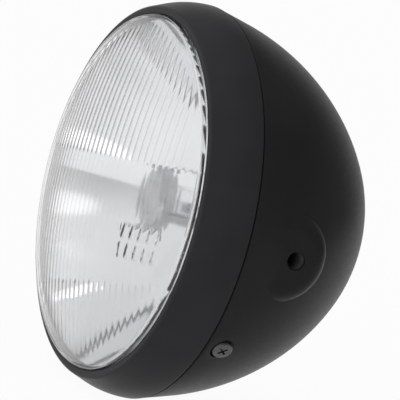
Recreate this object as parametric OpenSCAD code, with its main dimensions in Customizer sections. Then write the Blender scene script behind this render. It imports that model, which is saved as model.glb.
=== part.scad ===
/* [Rim] */
// Radius of the glass that shows inside the rim
aperture_r = 84; // [82:0.5:85]
// Largest radius of the rim, at its rear edge
rim_r = 93.3; // [93:0.1:95]
// Depth of the rim from its front face to its rear edge
rim_depth = 23.7; // [22.5:0.1:25]
// Slope of the rim's flank, in degrees
rim_flare = 21.5; // [19:0.5:23]
// Radius of the curve that ends the flank
rim_crown_r = 40; // [34:1:44]
// Width of the rim's narrow front face
rim_face = 2.4; // [2:0.1:3]
// Radius of the rim's front edge
rim_nose_r = 1.6; // [1.2:0.1:2]
// Thickness of the rim's steel
rim_wall = 1.0; // [0.8:0.1:1.2]
// Width of the folded hem at the rim's rear edge
rim_hem = 3.0; // [2.8:0.1:3.4]
// Gap between the rim and the shell where they meet
seam_gap = 0.7; // [0.5:0.1:1]

/* [Shell] */
// Radius of the shell at its front edge
shell_r = 92.7; // [92.2:0.1:93.2]
// Taper of the straight wall behind the front edge, in degrees
shell_taper = 13.4; // [12:0.2:15]
// Length of the straight wall
shell_straight = 13.4; // [12:0.2:15]
// Radius of the shoulder's curve
shoulder_r = 116; // [114:1:120]
// Radius of the domed back
back_r = 77; // [74:1:80]
// Thickness of the shell's steel
shell_wall = 1.2; // [1:0.1:1.4]
// Length of the spigot that enters the rim
spigot_length = 6.8; // [6:0.2:8]
// Radius of the rolled front edge
shell_edge_r = 0.8; // [0.5:0.1:1]

/* [Side mounts] */
// Distance from the rim's front face to the side holes
mount_depth = 52; // [50:0.5:54]
// Distance between the two flat side faces
mount_width = 175; // [174:0.5:177]
// Radius of the flat part of each side pad
pad_flat_r = 12.5; // [11:0.5:14]
// Radius of each pad's rounded edge
pad_edge_r = 9.5; // [8:0.5:11]
// Distance from the side hole forward to the pad's centre
pad_lead = 4; // [2:0.5:5]
// Diameter of the hole through the shell
mount_hole_d = 8.8; // [8.4:0.1:9.4]
// Bore of the threaded bush
bush_bore_d = 6.8; // [6.6:0.1:7]
// Outer diameter of the threaded bush
bush_d = 14; // [13:0.5:15]
// Length of the threaded bush
bush_length = 12; // [10:0.5:14]

/* [Rim screws] */
// Angle of each rim screw below the horizontal, in degrees
screw_angle = 32; // [30:1:36]
// Distance from the rim's front face to the rim screws
screw_depth = 34.3; // [33.5:0.1:35]
// Diameter of the screw's head
screw_head_d = 9.6; // [9:0.1:10]
// Height of the screw's head
screw_head_h = 2.6; // [2.2:0.1:3]
// Diameter of the screw's shank
screw_d = 5; // [4:0.5:5.5]
// Length of the screw's shank
screw_length = 12; // [10:0.5:14]
// Diameter of the flat seat under the head
seat_d = 11.6; // [11.2:0.1:12.4]
// Depth of the seat below the shell at the screw's centre
seat_depth = 1.4; // [1.2:0.1:1.6]

/* [Lens] */
// Height of the glass dome in front of the rim's front face
dome_rise = 15.6; // [13:0.2:18]
// Width of the glass's edge that lies hidden behind the rim's lip
glass_margin = 1.6; // [1.2:0.1:1.8]
// Thickness of the glass
glass_wall = 3.4; // [3:0.1:4]
// Radius of the glass's rounded edge
glass_edge_r = 3; // [2:0.5:4]
// Width of one upright flute
flute_pitch = 5; // [4:0.5:7]
// Depth of a flute
flute_depth = 0.5; // [0.3:0.1:0.7]
// Width of the plain margin round the flutes
plain_margin = 5; // [3:0.5:8]
// Height of the plain band's upper edge above the centre
band_top = 14.5; // [12:0.5:18]
// Height of the plain band's lower edge below the centre
band_bottom = 34; // [30:0.5:40]
// Turn of the lamp unit in its rim, in degrees
unit_turn = 8.5; // [0:0.5:12]

/* [Reflector] */
// Focal length of the reflector
focal_length = 26; // [25:0.5:27]
// Thickness of the reflector's steel
reflector_wall = 0.8; // [0.7:0.1:1]
// Radius of the bulb neck
neck_r = 21; // [20:0.5:22]
// Width of the sealant round the glass
sealant_width = 0.7; // [0.5:0.1:0.8]
// Distance from the centre down to the position light
position_drop = 40; // [38:1:44]

/* [Bulb] */
// Diameter of the bulb's glass
bulb_glass_d = 17; // [16:0.5:18]
// Length of the bulb's glass in front of its flange
bulb_glass_length = 46; // [44:1:50]
// Diameter of the bulb's flange
bulb_flange_d = 43; // [42:0.5:43]
// Diameter of the bulb's base
bulb_base_d = 23; // [20:0.5:24]
// Radius of the bulb shield
shield_r = 14; // [12:0.5:15]

/* [Cable inlet] */
// Diameter of the hole for the cables
inlet_hole_d = 22; // [18:1:24]
// Bore of the rubber grommet
inlet_bore_d = 14; // [10:1:15]
// Distance of the inlet below the lamp's axis
inlet_drop = 34; // [30:1:38]

/* [Hidden] */
$fn = 96;

// Clearance between pieces that seat on each other
seat = 0.15;
// Overrun of a cutting shape beyond the face it cuts
over = 1;
// Angle between points on a rounded outline
arc_step = 6;
// Clearance between the rim's hem and the shell's spigot
spigot_clearance = 0.3;
// Distance from the rim's rear edge forward to its largest radius
crown_back = 1.4;
// Points on the rim's front edge and on its crown
nose_steps = 5;
crown_steps = 6;
// Chamfer of the rim's lip, and of its rear corner
lip_chamfer = 0.4;
rear_chamfer = 0.6;
// Depth of the folded hem, and of the step inside it
hem_depth = 0.9;
hem_step = 1.3;
// Depth behind the shell's edge where the spigot's bore ends, and where the full wall starts
spigot_bore_end = 1.4;
wall_start = 3.4;
// Length of the shapes that cut through a wall
cut = 10;
// Clearance of a hole round the screw's shank
screw_clearance = 0.6;
// Width of the rim's seal and its squeeze
seal_inset = 0.7;
seal_squeeze = 0.05;
// Distance from the glass's flange back to the gutter's lip
gutter_lip = 1;
// Clearance round the sealant
bead_clearance = 0.1;

mount_half = mount_width / 2;

// Points of an arc about centre c, as [radius, depth], from angle a to b off the radial direction
function arc(c, r, a, b, n) = [
    for (i = [0:n]) let (w = a + (b - a) * i / n) [c[0] + r * cos(w), c[1] + r * sin(w)]
];
function reversed(list) = [for (i = [len(list) - 1:-1:0]) list[i]];
function steps(a, b) = max(2, ceil(abs(b - a) / arc_step));

// The rim's section
nose_centre = [aperture_r + rim_face, rim_nose_r];
crown_centre = [rim_r - rim_crown_r, rim_depth - crown_back];
hem_r = rim_r - rim_hem;
spigot_r = hem_r - spigot_clearance;

function rim_outer(off) = concat(
    arc(nose_centre, rim_nose_r - off, -90, -rim_flare, nose_steps),
    arc(crown_centre, rim_crown_r - off, -rim_flare, 0, crown_steps)
);

// The shell's section: a straight taper, then two arcs that meet in line and end on the axis
shell_front = rim_depth + seam_gap;
taper_end = [
    shell_r - shell_straight * sin(shell_taper),
    shell_front + shell_edge_r + shell_straight * cos(shell_taper)
];
shoulder_centre = [
    taper_end[0] - shoulder_r * cos(shell_taper),
    taper_end[1] - shoulder_r * sin(shell_taper)
];
blend_angle = acos(-shoulder_centre[0] / (shoulder_r - back_r));
back_centre = [0, shoulder_centre[1] + (shoulder_r - back_r) * sin(blend_angle)];

function shell_curve(off) = concat(
    [[shell_r - off / cos(shell_taper), shell_front + shell_edge_r]],
    arc(shoulder_centre, shoulder_r - off, shell_taper, blend_angle, steps(shell_taper, blend_angle)),
    [for (p = arc(back_centre, back_r - off, blend_angle, 90, steps(blend_angle, 90))) if (p[1] > back_centre[1]) p]
);

// Radius of the shell's outside on the straight taper, at a depth
function taper_radius(depth) = shell_r - (depth - shell_front - shell_edge_r) * tan(shell_taper);

// The glass dome is part of a sphere with a rounded edge, and the lip holds its flange
glass_r = aperture_r + glass_margin;
gutter_r = glass_r + seat + sealant_width + bead_clearance + reflector_wall;
lip_gap = 0.2;
glass_neck_r = aperture_r - lip_gap;
edge_level = 0.2;
edge_centre = [glass_neck_r - glass_edge_r, edge_level];
edge_rise = dome_rise + edge_level;
dome_r = (pow(edge_centre[0], 2) + pow(edge_rise, 2) - pow(glass_edge_r, 2)) / (2 * (edge_rise - glass_edge_r));
dome_centre = dome_r - dome_rise;
edge_angle = asin(edge_centre[0] / (dome_r - glass_edge_r));
inner_dome_r = dome_r - glass_wall;
function dome_depth(r) = dome_centre - sqrt(dome_r * dome_r - r * r);
function inner_dome_depth(r) = dome_centre - sqrt(inner_dome_r * inner_dome_r - r * r);
edge_steps = 4;
seal_thickness = 1;
flange_front = rim_wall + seal_thickness;
glass_flange = 3.5;
glass_back = flange_front + glass_flange;

// The reflector is a paraboloid from its gutter back to the bulb neck
gutter_depth = glass_back + seat;
gutter_front = flange_front + gutter_lip;
gutter_bend = 0.6;
mirror_r = aperture_r - 3;
mirror_front = gutter_depth + gutter_lip;
vertex_depth = mirror_front + mirror_r * mirror_r / (4 * focal_length);
function mirror_depth(r) = vertex_depth - r * r / (4 * focal_length);
neck_front = mirror_depth(neck_r);
neck_length = 1.6;
neck_back = vertex_depth + neck_length;
neck_lip = 1;
mirror_points = 14;
back_offset = 0.3;
position_depth = mirror_depth(position_drop);
position_hole_d = 14;
position_hole_length = 12;

// Bulb places
flange_depth = neck_back + seat;
flange_wall = 1.2;
base_length = 13;
base_back = flange_depth + flange_wall + base_length;
glass_tip = flange_depth - bulb_glass_length;
shield_lead = 9;
shield_front = glass_tip - shield_lead;
// The flange's seat in the neck, and the three ears that locate it
flange_lip_r = bulb_flange_d / 2 - 3;
flange_body_r = bulb_flange_d / 2 - 3.5;
ear_width = 24;
ear_turns = [90, 210, 330];
// The collar that grips the bulb's glass, and where the glass ends in it
collar_r = bulb_glass_d / 2 + 1.3;
collar_wall = 0.6;
collar_length = 9;
collar_floor = 6;
glass_foot = flange_depth - 6.2;
quartz_wall = 1;
nose_flat = 0.8;
nose_step = 15;
// The ring on the neck, and the bracket, the clip and the boot that fit it
ring_width = 4.5;
ring_length = 5;
ring_r = neck_r + ring_width;
ring_bore_r = neck_r + reflector_wall + seat;
bracket_wall = 0.8;
clip_screw_d = 3.4;
clip_screw_h = 1.3;
boot_wall = 2;
boot_lip = 3.4;

// The screw's seat and the rim's tabs
seat_level = taper_radius(screw_depth) - seat_depth;
tab_wall = 1.6;
tab_clearance = 0.5;
tab_r = seat_level - shell_wall - tab_clearance;
tab_length = 5.5;
tab_back = screw_depth + tab_length;
tab_width = 11;
weld_front = 11;
weld_back = 15.5;
hook_r = spigot_r - shell_wall - spigot_clearance;
hook_back = rim_depth + 7;
hook_tip = 1.3;
hook_width = 12;
nut_thickness = 4;
nut_flats = 8;

// The side bushes seat inside the pads
bush_face = mount_half - shell_wall - seat;

// The cable inlet lies low in the domed back
inlet_angle = asin(inlet_drop / back_r);
function dome_drop(r) = back_r - sqrt(back_r * back_r - r * r);

module on_axis() {
    rotate([-90, 0, 0]) children();
}

module revolved(points) {
    on_axis() rotate_extrude() polygon(points);
}

// A stretch of a revolved section, centred on an angle above the right-hand horizontal
module sector(middle, width, points) {
    rotate([0, -middle, 0]) on_axis() rotate([0, 0, -width / 2]) rotate_extrude(angle = width) polygon(points);
}

// Everything inside is placed by depth behind the rim's front face
module from_rim() {
    translate([0, -mount_depth, 0]) children();
}

module unit() {
    from_rim() rotate([0, -unit_turn, 0]) children();
}

// Turns a shape drawn along +X to each rim screw
module at_screws() {
    for (side = [-1, 1])
        rotate([0, side > 0 ? screw_angle : 180 - screw_angle, 0]) translate([0, screw_depth, 0]) children();
}

// A cylinder along +X from x = a to x = b
module bar_x(a, b, d) {
    translate([a, 0, 0]) rotate([0, 90, 0]) cylinder(h = b - a, d = d);
}

// Places a shape drawn along +Y at the cable inlet, square to the domed back
module at_inlet() {
    translate([0, back_centre[1], 0]) rotate([-inlet_angle, 0, 0]) translate([0, back_r, 0]) children();
}

module pad(off) {
    translate([0, mount_depth - pad_lead, 0]) rotate([0, 90, 0]) rotate_extrude() polygon(concat(
        [[0, mount_half - 3 * pad_edge_r]],
        [[pad_flat_r + pad_edge_r - off, mount_half - 3 * pad_edge_r]],
        arc([pad_flat_r, mount_half - pad_edge_r], pad_edge_r - off, 0, 90, 8),
        [[0, mount_half - off]]
    ));
}

module pads(off) {
    pad(off);
    mirror([1, 0, 0]) pad(off);
}

module shell_outside() {
    revolved(concat(
        [[0, shell_front - spigot_length], [spigot_r, shell_front - spigot_length], [spigot_r, shell_front]],
        arc([shell_r - shell_edge_r, shell_front + shell_edge_r], shell_edge_r, -90, 0, 4),
        shell_curve(0)
    ));
    pads(0);
}

module shell_inside() {
    spigot_inner = spigot_r - shell_wall;
    curve = shell_curve(shell_wall);
    revolved(concat(
        [[0, shell_front - spigot_length - over], [spigot_inner, shell_front - spigot_length - over]],
        [[spigot_inner, shell_front + spigot_bore_end]],
        [[taper_radius(shell_front + wall_start) - shell_wall / cos(shell_taper), shell_front + wall_start]],
        [for (i = [1:len(curve) - 1]) curve[i]]
    ));
    pads(shell_wall);
}

module shell() {
    color([0.11, 0.11, 0.12]) from_rim() difference() {
        union() {
            difference() {
                shell_outside();
                shell_inside();
            }
            intersection() {
                at_screws() bar_x(seat_level - shell_wall, seat_level + cut, seat_d + 2 * shell_wall);
                shell_outside();
            }
        }
        at_screws() bar_x(seat_level, seat_level + cut, seat_d);
        at_screws() bar_x(seat_level - cut / 2, seat_level + over, screw_d + screw_clearance);
        translate([0, mount_depth, 0]) {
            bar_x(mount_half - cut / 2, mount_half + over, mount_hole_d);
            bar_x(-mount_half - over, -mount_half + cut / 2, mount_hole_d);
        }
        at_inlet() on_axis() translate([0, 0, -cut / 2]) cylinder(h = cut, d = inlet_hole_d);
    }
}

module rim() {
    color([0.12, 0.12, 0.13]) from_rim() revolved(concat(
        [[aperture_r, rim_wall], [aperture_r, lip_chamfer], [aperture_r + lip_chamfer, 0]],
        rim_outer(0),
        [[rim_r, rim_depth - rear_chamfer], [rim_r - rear_chamfer, rim_depth]],
        [[hem_r, rim_depth], [hem_r, rim_depth - hem_depth], [rim_r - rim_wall, rim_depth - hem_step]],
        reversed(rim_outer(rim_wall))
    ));
}

module rim_seal() {
    inner = aperture_r + seal_inset;
    outer = glass_r - seat;
    color("black") from_rim() revolved([
        [inner, rim_wall + seal_squeeze], [outer, rim_wall + seal_squeeze],
        [outer, flange_front - seal_squeeze], [inner, flange_front - seal_squeeze]
    ]);
}

// The lens: inside its plain margin the points stand in columns, so that each flute runs upright.
// The columns end on a circle, and from there rings run round the edge and the flange to the back.
flute_zone_r = aperture_r - plain_margin;
flute_points = 3;
flute_fade = 2;
lower_share = 0.7;
band_share = 0.25;
column_step = flute_pitch / flute_points;
column_gap = 0.4;
half_columns = floor((flute_zone_r - column_gap) / column_step);
column_x = concat(
    [-flute_zone_r], [for (i = [-half_columns:half_columns]) i * column_step], [flute_zone_r]
);
row_count = 18;

function clamp(x) = max(0, min(1, x));
function column_half(x) = sqrt(max(0, flute_zone_r * flute_zone_r - x * x));
// Heights in a column come closer together near the edge
function row_z(x, j) = column_half(x) * sin(90 * (2 * j / row_count - 1));
function share(x, z) =
    clamp((flute_zone_r - norm([x, z])) / flute_fade) *
    (z > band_top ? 1 : z < -band_bottom ? lower_share : band_share);
function flute(x, z) = flute_depth * share(x, z) * (0.5 + 0.5 * cos(360 * x / flute_pitch));

module lens() {
    columns = len(column_x);
    rows = row_count + 1;
    front = [
        for (x = column_x) for (j = [0:row_count])
            let (z = row_z(x, j)) [x, dome_depth(norm([x, z])), z]
    ];
    back = [
        for (x = column_x) for (j = [0:row_count])
            let (z = row_z(x, j)) [x, inner_dome_depth(norm([x, z])) - flute(x, z), z]
    ];
    total = columns * rows;
    function at(i, j) = (i == 0 || i == columns - 1) ? i * rows : i * rows + j;
    quads = [
        for (i = [0:columns - 2]) for (j = [0:row_count - 1])
            [at(i, j), at(i, j + 1), at(i + 1, j + 1), at(i + 1, j)]
    ];
    function triangles(q) = [
        for (f = [[q[0], q[1], q[2]], [q[0], q[2], q[3]]])
            if (f[0] != f[1] && f[1] != f[2] && f[2] != f[0]) f
    ];
    disc_faces = [for (q = quads) each triangles(q)];
    edge = concat(
        [for (i = [0:columns - 1]) at(i, 0)],
        [for (i = [columns - 2:-1:1]) at(i, row_count)]
    );
    section = concat(
        [
            for (i = [0:edge_steps]) let (w = edge_angle + (90 - edge_angle) * i / edge_steps)
                [edge_centre[0] + glass_edge_r * sin(w), edge_centre[1] - glass_edge_r * cos(w)]
        ],
        [[glass_neck_r, flange_front], [glass_r, flange_front], [glass_r, glass_back]],
        [[mirror_r, glass_back], [mirror_r, inner_dome_depth(mirror_r)]]
    );
    rings = [
        for (p = section) for (e = edge)
            [front[e][0] * p[0] / flute_zone_r, p[1], front[e][2] * p[0] / flute_zone_r]
    ];
    loops = concat(
        [edge],
        [for (k = [0:len(section) - 1]) [for (n = [0:len(edge) - 1]) 2 * total + k * len(edge) + n]],
        [[for (e = edge) e + total]]
    );
    edge_faces = [
        for (k = [0:len(loops) - 2]) for (n = [0:len(edge) - 1])
            let (m = (n + 1) % len(edge), near = loops[k], far = loops[k + 1])
            each [[near[n], near[m], far[m]], [near[n], far[m], far[n]]]
    ];
    color([0.82, 0.87, 0.9, 0.5]) unit() polyhedron(
        points = concat(front, back, rings),
        faces = concat(
            [for (f = disc_faces) [f[2], f[1], f[0]]],
            [for (f = disc_faces) [f[0] + total, f[1] + total, f[2] + total]],
            [for (f = edge_faces) [f[2], f[1], f[0]]]
        )
    );
}

module lens_sealant() {
    color("dimgray") unit() revolved([
        [glass_r + seat, gutter_front], [gutter_r - reflector_wall - bead_clearance, gutter_front],
        [gutter_r - reflector_wall - bead_clearance, gutter_depth - bead_clearance],
        [glass_r + seat, gutter_depth - bead_clearance]
    ]);
}

module reflector() {
    mirror_line = [
        for (i = [0:mirror_points])
            let (r = mirror_r + (neck_r - mirror_r) * i / mirror_points) [r, mirror_depth(r)]
    ];
    color([0.86, 0.87, 0.88]) unit() difference() {
        revolved(concat(
            [[gutter_r - reflector_wall, gutter_front], [gutter_r - reflector_wall, gutter_depth]],
            [[mirror_r + gutter_bend, gutter_depth]],
            mirror_line,
            [[neck_r, neck_back - neck_lip], [flange_lip_r, neck_back - neck_lip], [flange_lip_r, neck_back]],
            [[neck_r + reflector_wall, neck_back], [neck_r + reflector_wall, neck_front + gutter_bend]],
            [
                for (p = reversed(mirror_line)) if (p[0] > neck_r + neck_lip)
                    [p[0] + back_offset, p[1] + reflector_wall * 1.2]
            ],
            [[mirror_r + gutter_bend + reflector_wall, gutter_depth + reflector_wall]],
            [[gutter_r, gutter_depth + reflector_wall], [gutter_r, gutter_front]]
        ));
        translate([0, position_depth - position_hole_length / 3, -position_drop])
            on_axis() cylinder(h = position_hole_length, d = position_hole_d);
    }
}

module bulb_holder_ring() {
    color("silver") unit() revolved([
        [ring_bore_r, neck_back - ring_length], [ring_r, neck_back - ring_length],
        [ring_r, neck_back], [ring_bore_r, neck_back]
    ]);
}

module bulb_shield() {
    leg_r = 18;
    wall = 0.8;
    edge = 3.2;
    skirt = 8;
    weld = 0.05;
    root = shield_front + 5;
    foot = neck_back - neck_lip - seat;
    color("gainsboro") unit() {
        revolved(concat(
            [[0, shield_front]],
            arc([shield_r - edge, shield_front + edge], edge, -75, 0, 5),
            [[shield_r, shield_front + skirt], [shield_r - wall, shield_front + skirt]],
            arc([shield_r - edge, shield_front + edge], edge - wall, 0, -75, 5),
            [[0, shield_front + wall]]
        ));
        for (turn = ear_turns)
            sector(turn, 14, [
                [shield_r - weld, root], [shield_r - weld + wall, root],
                [leg_r + wall, neck_front - 6], [leg_r + wall, foot], [leg_r, foot],
                [leg_r, neck_front - 6], [shield_r - weld, root + 4]
            ]);
    }
}

module bulb_glass() {
    r = bulb_glass_d / 2;
    height = r * nose_flat;
    nose = glass_tip + height;
    turns = [for (w = [0:nose_step:90]) w];
    color([0.9, 0.95, 1, 0.4]) unit() revolved(concat(
        [for (w = turns) [r * sin(w), nose - height * cos(w)]],
        [[r, glass_foot], [r - quartz_wall, glass_foot]],
        [for (w = reversed(turns)) [(r - quartz_wall) * sin(w), nose - (height - quartz_wall) * cos(w)]]
    ));
}

// Each filament is a short bar along the lamp's axis, and its ends meet the cross wires
filament_d = 1.2;
wire_d = 0.6;
wire_ring = 5.4;
dipped_length = 5.5;
main_length = 4.5;
dipped_start = flange_depth - 35.5;
middle_wire = dipped_start + dipped_length + wire_d / 2;
main_start = middle_wire + wire_d / 2;
front_wire = dipped_start - wire_d / 2;
rear_wire = main_start + main_length + wire_d / 2;
dipped_height = 0.6;

module main_filament() {
    color("goldenrod") unit() translate([0, main_start, 0]) on_axis() cylinder(h = main_length, d = filament_d);
}

module dipped_filament() {
    color("goldenrod") unit() translate([0, dipped_start, dipped_height])
        on_axis() cylinder(h = dipped_length, d = filament_d);
}

module dip_screen() {
    color("lightgray") unit() translate([0, dipped_start + 0.2, 0]) sector(-90, 165, [
        [3.2, 0], [3.6, 0], [3.6, dipped_length - 0.3], [3.2, dipped_length - 0.3]
    ]);
}

// A lead that runs forward from the bulb's foot, then across to a filament
module lead(turn, depth, reach) {
    rotate([0, turn, 0]) {
        translate([wire_ring, depth - wire_d / 2, 0]) on_axis()
            cylinder(h = glass_foot - depth + wire_d / 2, d = wire_d);
        translate([0, depth, 0]) bar_x(reach, wire_ring, wire_d);
    }
}

module filament_wires() {
    color("lightgray") unit() {
        lead(90, front_wire, -dipped_height);
        lead(180, middle_wire, 0);
        lead(0, rear_wire, 0);
    }
}

module bulb_flange() {
    collar_outer = collar_r + collar_wall;
    flange_back = flange_depth + flange_wall;
    ear_root = flange_body_r - 0.05;
    color("silver") unit() {
        revolved([
            [collar_r, flange_depth - collar_length], [collar_outer, flange_depth - collar_length],
            [collar_outer, flange_depth], [flange_body_r, flange_depth],
            [flange_body_r, flange_back], [0, flange_back],
            [0, flange_depth - collar_floor], [collar_r, flange_depth - collar_floor]
        ]);
        for (turn = ear_turns)
            sector(turn, ear_width, [
                [ear_root, flange_depth], [bulb_flange_d / 2, flange_depth],
                [bulb_flange_d / 2, flange_back], [ear_root, flange_back]
            ]);
    }
}

module bulb_base() {
    start = flange_depth + flange_wall;
    color("silver") unit() revolved([
        [0, start], [bulb_base_d / 2, start], [bulb_base_d / 2, base_back - 2],
        [bulb_base_d / 2 - 0.8, base_back - 1.2], [0, base_back - 1.2]
    ]);
}

module bulb_insulator() {
    color("darkslategray") unit() revolved([
        [0, base_back - 1.2], [bulb_base_d / 2 - 1, base_back - 1.2],
        [bulb_base_d / 2 - 1, base_back + 1.2], [0, base_back + 1.2]
    ]);
}

// Three flat blades: one across the top and one on each side
module bulb_terminals() {
    blade = [8, 10, 0.8];
    start = base_back + 1.2;
    color("silver") unit() {
        translate([-blade[0] / 2, start, 6]) cube(blade);
        for (side = [-1, 1])
            translate([side * 7 - blade[2] / 2, start, -5.5]) cube([blade[2], blade[1], blade[0]]);
    }
}

// A spring wire that presses the bulb's flange onto its seat
clip_wire_d = 1.4;
clip_level = flange_depth + flange_wall + clip_wire_d / 2 + 0.05;
clip_half = 13.4;
clip_reach = neck_r;
module bulb_clip() {
    color("darkgray") unit() translate([0, clip_level, 0]) {
        for (side = [-1, 1])
            translate([side * clip_half, 0, -clip_reach]) cylinder(h = 2 * clip_reach, d = clip_wire_d);
        translate([-clip_half, 0, clip_reach]) rotate([0, 90, 0]) cylinder(h = 2 * clip_half, d = clip_wire_d);
        for (side = [-1, 1])
            translate([side * clip_half, 0, clip_reach]) sphere(d = clip_wire_d, $fn = 24);
    }
}

// The bracket holds the clip's closed end, and a screw holds the bracket to the ring
bracket_front = neck_back + 0.05;
module clip_bracket() {
    color("silver") unit() for (top = [0, 1]) rotate([0, 180 * top, 0]) sector(90, 26, [
        [ring_bore_r + seat, bracket_front], [ring_r - 0.1, bracket_front],
        [ring_r - 0.1, bracket_front + bracket_wall], [ring_bore_r + seat, bracket_front + bracket_wall]
    ]);
}

module clip_screws() {
    color("silver") unit() for (side = [-1, 1])
        translate([0, bracket_front + bracket_wall + 0.05, side * (neck_r + ring_width / 2 + 0.4)])
            on_axis() cylinder(h = clip_screw_h, d = clip_screw_d, $fn = 48);
}

// A rubber cap over the bulb's base, with the terminals standing out of it
module bulb_boot() {
    inner = ring_r + seat;
    outer = inner + boot_wall;
    front = neck_back - ring_length + 0.4;
    grip = bulb_base_d / 2 + seat;
    mouth = base_back - 1.3;
    color([0.08, 0.08, 0.08]) unit() revolved([
        [inner, front], [inner + boot_lip, front], [inner + boot_lip, front + 3], [outer, front + 4],
        [outer, mouth - 9.7], [inner - 3, mouth - 4.7], [grip + 3.8, mouth - 2.7],
        [grip + boot_wall, mouth], [grip, mouth], [grip, mouth - 3.7],
        [inner - 4, mouth - 6.7], [inner, mouth - 10.7]
    ]);
}

module at_position_light() {
    translate([0, position_depth, -position_drop]) on_axis() children();
}

module position_grommet() {
    color([0.1, 0.1, 0.1]) unit() at_position_light() rotate_extrude() polygon([
        [5.2, -3.4], [6.6, -3.4], [6.6, 9], [8.4, 9], [8.4, 12], [5.2, 12]
    ]);
}

module position_holder() {
    color("silver") unit() at_position_light() rotate_extrude() polygon([
        [3.4, 1], [5, 1], [5, 12.3], [5.8, 12.3], [5.8, 14], [0, 14], [0, 9.2], [3.4, 9.2]
    ]);
}

module position_bulb() {
    color([0.9, 0.95, 1, 0.5]) unit() at_position_light() rotate_extrude() polygon(concat(
        [[0, 9], [3.2, 9], [3.2, 1], [4.2, -2], [4.2, -7]],
        [for (i = [0:4]) [4.2 * cos(22.5 * i), -7 - 4.2 * sin(22.5 * i)]],
        [for (i = [4:-1:0]) [3.5 * cos(22.5 * i), -7 - 3.5 * sin(22.5 * i)]],
        [[3.5, -2], [2.5, 1], [0, 1]]
    ));
}

module position_filament() {
    color("goldenrod") unit() at_position_light() {
        translate([-1.6, 0, -6]) rotate([0, 90, 0]) cylinder(h = 3.2, d = 0.5, $fn = 24);
        for (side = [-1, 1])
            translate([side * 1.6, 0, -6.2]) cylinder(h = 7.1, d = 0.4, $fn = 24);
    }
}

module position_terminals() {
    color("silver") unit() at_position_light() for (side = [-1, 1])
        translate([side * 2.6 - 0.4, -2.4, 14]) cube([0.8, 4.8, 7]);
}

// Five bent springs hold the lamp unit against the rim's lip
clip_angles = [35, 70, 110, 145, 270];
module unit_clips() {
    back = gutter_depth + reflector_wall + 0.1;
    color("gray") from_rim() for (w = clip_angles) sector(w, 6, [
        [84.5, back], [87.2, back], [88.1, back + 3.2], [90.2, back + 3.2], [90.2, back + 4],
        [87.6, back + 4], [86.7, back + 0.8], [84.5, back + 0.8]
    ]);
}

// A strip welded inside the rim that bends in under the spigot and runs back into the shell
function strip(level, back, tip) = [
    [rim_inner(weld_front) - 0.1, weld_front], [rim_inner(weld_back) - 0.1, weld_back],
    [rim_inner(weld_back) - 1.4, weld_back + 0.3], [level, weld_back + 1.2], [level, back - 1.4],
    [level + tip, back - 1.4], [level + tip, back], [level - tab_wall, back],
    [level - tab_wall, weld_back - 0.4], [rim_inner(weld_front) - 0.1 - tab_wall, weld_front + 0.4]
];
function rim_inner(depth) = crown_centre[0] + sqrt(
    pow(rim_crown_r - rim_wall, 2) - pow(min(0, depth - crown_centre[1]), 2)
);

module top_hook() {
    color("gray") from_rim() sector(90, hook_width, strip(hook_r, hook_back, hook_tip));
}

module tab(middle) {
    difference() {
        sector(middle, tab_width, strip(tab_r, tab_back, 0));
        at_screws() bar_x(tab_r - cut / 2, tab_r + cut / 2, screw_d + screw_clearance);
    }
}

module left_tab() {
    color("gray") from_rim() tab(180 + screw_angle);
}

module right_tab() {
    color("gray") from_rim() tab(-screw_angle);
}

// A square nut under each tab
module tab_nuts() {
    nut_top = tab_r * cos(tab_width / 2) - tab_wall - 0.1;
    color("silver") from_rim() at_screws() difference() {
        translate([nut_top - nut_thickness, -nut_flats / 2, -nut_flats / 2])
            cube([nut_thickness, nut_flats, nut_flats]);
        bar_x(nut_top - nut_thickness - over, nut_top + over, screw_d + 0.1);
    }
}

// Pan head screws with a cross recess
module rim_screws() {
    head = screw_head_d / 2;
    edge = 1.1;
    crown = 0.25;
    recess = [3, 5, 1];
    recess_depth = 1.4;
    color([0.13, 0.13, 0.13]) from_rim() at_screws() translate([seat_level + 0.05, 0, 0]) difference() {
        union() {
            rotate([0, 90, 0]) rotate_extrude() polygon(concat(
                [[0, 0], [head, 0]],
                arc([head - edge, screw_head_h - edge], edge, 0, 70, 4),
                [[0, screw_head_h + crown]]
            ));
            bar_x(-screw_length, 0.01, screw_d);
        }
        for (turn = [0, 90]) rotate([45 + turn, 0, 0])
            translate([screw_head_h - recess_depth, -recess[1] / 2, -recess[2] / 2]) cube(recess);
    }
}

module bush(side) {
    flange = 1.5;
    collar = 1;
    bore = bush_bore_d / 2;
    body = bush_d / 2 - collar;
    start = bush_face - bush_length;
    color("silver") from_rim() translate([0, mount_depth, 0]) rotate([0, side > 0 ? 0 : 180, 0])
        rotate([0, 90, 0]) rotate_extrude() polygon([
            [bore, start], [body, start], [body, bush_face - flange],
            [bush_d / 2 + collar, bush_face - flange], [bush_d / 2 + collar, bush_face], [bore, bush_face]
        ]);
}

module left_bush() {
    bush(-1);
}

module right_bush() {
    bush(1);
}

// A rubber ring with a groove that holds the edge of the cable hole
module cable_grommet() {
    hole = inlet_hole_d / 2;
    bore = inlet_bore_d / 2;
    lip = 2.6;
    rim_drop = dome_drop(hole + lip) - seat;
    hole_drop = dome_drop(hole) - seat;
    under = shell_wall + 3 * seat;
    inside = 3.6;
    crest = 2;
    color([0.08, 0.08, 0.08]) from_rim() at_inlet() on_axis() rotate_extrude() polygon([
        [bore, -under - inside], [hole + 1, -under - inside], [hole + lip, -rim_drop - under - 1.2],
        [hole + lip, -rim_drop - under], [hole - seat, -hole_drop - under],
        [hole - seat, -hole_drop], [hole + lip, -rim_drop], [hole + lip, 0.6], [hole + 1, crest], [bore, crest]
    ]);
}

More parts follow.
